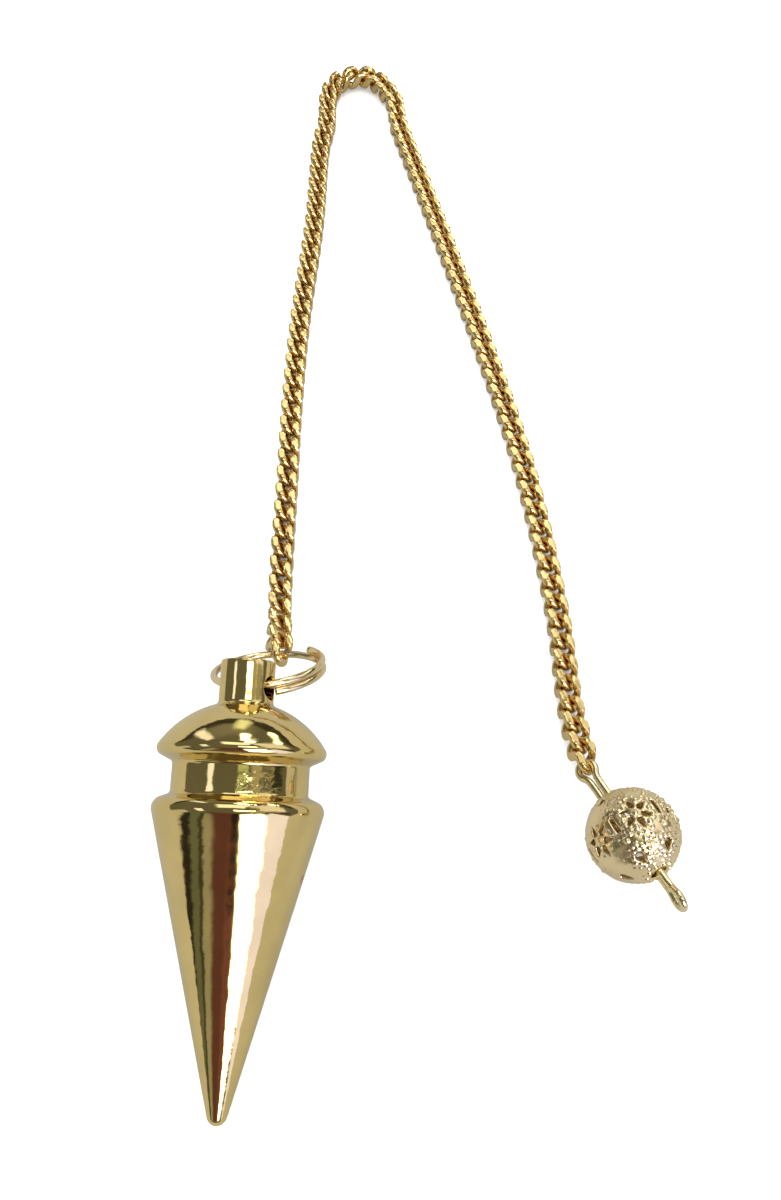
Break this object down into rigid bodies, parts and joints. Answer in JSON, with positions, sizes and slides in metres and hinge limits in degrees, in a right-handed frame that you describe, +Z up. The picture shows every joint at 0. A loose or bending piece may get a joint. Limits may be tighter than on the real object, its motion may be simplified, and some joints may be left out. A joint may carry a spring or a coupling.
{
  "type": "pendulum pendant",
  "caption": "Conical turned bob with a grooved neck and domed cap, hung by a split ring on a curb chain that ends in a pierced ball on an eye pin. It lies on its side.",
  "frame": {"origin": "middle of the lying object's footprint, on the surface that it lies on", "axes": "+Z up from the surface, +Y from the bob's point towards the chain's far bend, +X from the bob towards the ball"},
  "size_m": [0.0537, 0.1503, 0.0182],
  "materials": {
    "bob_gold": "polished gold plating",
    "ring_gold": "bright pale gold plating",
    "chain_gold": "polished warm gold plating",
    "pin_gold": "bright pale gold plating",
    "ball_gold": "bright granulated gold plating"
  },
  "bodies": {
    "root": {"bob": "bob_gold", "split_ring": "ring_gold", "chain": "chain_gold", "eye_pin": "pin_gold", "filigree_ball": "ball_gold"}
  },
  "joints": []
}
